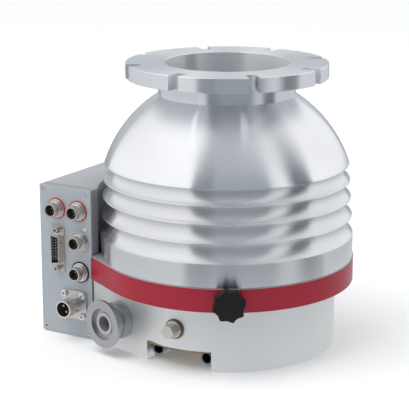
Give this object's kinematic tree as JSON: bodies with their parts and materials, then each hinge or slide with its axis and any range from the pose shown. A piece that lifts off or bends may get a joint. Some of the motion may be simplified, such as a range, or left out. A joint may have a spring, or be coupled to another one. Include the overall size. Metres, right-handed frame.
{
  "type": "turbomolecular pump",
  "caption": "Turbomolecular vacuum pump with a slotted inlet flange, domed ribbed casing, bladed rotor on magnetic bearings, side drive unit, foreline port and vent knob.",
  "frame": {"origin": "on the rotor's axis, in the plane of the base's lower rim", "axes": "+Z along the rotor's axis, out of the inlet; -X towards the drive unit; -Y the side that its connectors face"},
  "size_m": [0.246, 0.2137, 0.2335],
  "materials": {
    "casing": "turned bare aluminium with a fine bright lathe finish",
    "base": "milled bare aluminium, satin",
    "band": "gloss red band",
    "seal_rubber": "black rubber",
    "screw_steel": "zinc-plated steel",
    "rotor_alloy": "milled aluminium",
    "stator_alloy": "milled aluminium",
    "column_alloy": "turned aluminium",
    "shaft_steel": "ground steel",
    "ball_ceramic": "polished dark ceramic",
    "magnet": "magnet in a steel sleeve",
    "core_steel": "laminated electrical steel",
    "coil_copper": "lacquered copper wire",
    "port_steel": "turned stainless steel",
    "plug_nickel": "nickel-plated",
    "washer_copper": "dulled copper",
    "vent_steel": "turned stainless steel",
    "vent_rubber": "dark rubber on a steel core",
    "knob_black": "matte black plastic",
    "plate_brass": "rolled brass sheet",
    "socket_grey": "dark nickel-plated",
    "pipe_copper": "drawn copper tube",
    "housing_grey": "light grey powder coat",
    "panel_grey": "light blue-grey enamel",
    "connector_nickel": "nickel-plated brass",
    "connector_black": "black moulded plastic",
    "ring_red": "red plastic ring",
    "pin_gold": "gold-plated contact",
    "lens": "clear moulded lens",
    "board_green": "green circuit laminate",
    "feedthrough_steel": "steel body with sealed contacts"
  },
  "bodies": {
    "pump": {"base_foot": "base", "base_housing": "base", "bearing_column": "column_alloy", "casing": "casing", "casing_screws": "screw_steel", "casing_seal": "seal_rubber", "circuit_board": "board_green", "column_end_plate": "column_alloy", "column_screws": "screw_steel", "cooling_plate": "plate_brass", "core_spacers": "column_alloy", "drag_stator": "stator_alloy", "drive_front_frame": "housing_grey", "drive_front_panel": "panel_grey", "drive_gasket": "seal_rubber", "drive_housing": "housing_grey", "drive_screws": "screw_steel", "feedthrough": "feedthrough_steel", "fore_port": "port_steel", "gas_plug": "plug_nickel", "gas_plug_washer": "washer_copper", "magnet_coils": "coil_copper", "magnet_cores": "core_steel", "motor_stator": "core_steel", "panel_screws": "screw_steel", "power_insert": "connector_black", "power_pins": "pin_gold", "power_shell": "connector_nickel", "serial_insert": "connector_black", "serial_jackscrews": "connector_nickel", "serial_shell": "connector_nickel", "signal_rings": "ring_red", "signal_socket_inserts": "connector_black", "signal_socket_shells": "connector_nickel", "spacer_rings": "stator_alloy", "stator_disc_1": "stator_alloy", "stator_disc_2": "stator_alloy", "stator_disc_3": "stator_alloy", "status_lens": "lens", "touchdown_balls": "ball_ceramic", "touchdown_outer_races": "shaft_steel", "trim_band": "band", "vent_bush": "vent_steel", "water_pipe": "pipe_copper", "water_sockets": "socket_grey"},
    "rotor": {"rotor_shaft": "shaft_steel", "rotor_hub": "rotor_alloy", "rotor_stage_1": "rotor_alloy", "rotor_stage_2": "rotor_alloy", "rotor_stage_3": "rotor_alloy", "rotor_stage_4": "rotor_alloy", "rotor_bolts": "screw_steel", "motor_magnet": "magnet", "bearing_sleeves": "shaft_steel", "thrust_disc": "shaft_steel"},
    "lower_touchdown_race": {"lower_touchdown_inner_race": "shaft_steel"},
    "upper_touchdown_race": {"upper_touchdown_inner_race": "shaft_steel"},
    "vent_valve": {"vent_disc": "vent_rubber"},
    "vent_knob": {"vent_spindle": "vent_steel", "vent_knob": "knob_black"}
  },
  "joints": [
    {"name": "rotor_spin", "type": "hinge", "parent": "pump", "child": "rotor", "pos_m": [0, 0, 0.09], "axis": [0, 0, 1], "continuous": true},
    {"name": "lower_race_spin", "type": "hinge", "parent": "pump", "child": "lower_touchdown_race", "pos_m": [0, 0, 0.0265], "axis": [0, 0, 1], "continuous": true},
    {"name": "upper_race_spin", "type": "hinge", "parent": "pump", "child": "upper_touchdown_race", "pos_m": [0, 0, 0.1385], "axis": [0, 0, 1], "continuous": true},
    {"name": "vent_lift", "type": "slide", "parent": "pump", "child": "vent_valve", "axis": [0.518, -0.8554, 0], "range_m": [0, 0.002]},
    {"name": "vent_turn", "type": "hinge", "parent": "vent_valve", "child": "vent_knob", "pos_m": [0.05698, -0.09409, 0.0637], "axis": [0.518, -0.8554, 0], "range_deg": [0, 480]}
  ],
  "couplings": [
    {"joint": "vent_turn", "follows": "vent_lift", "rad_per_m": 4188.8}
  ]
}
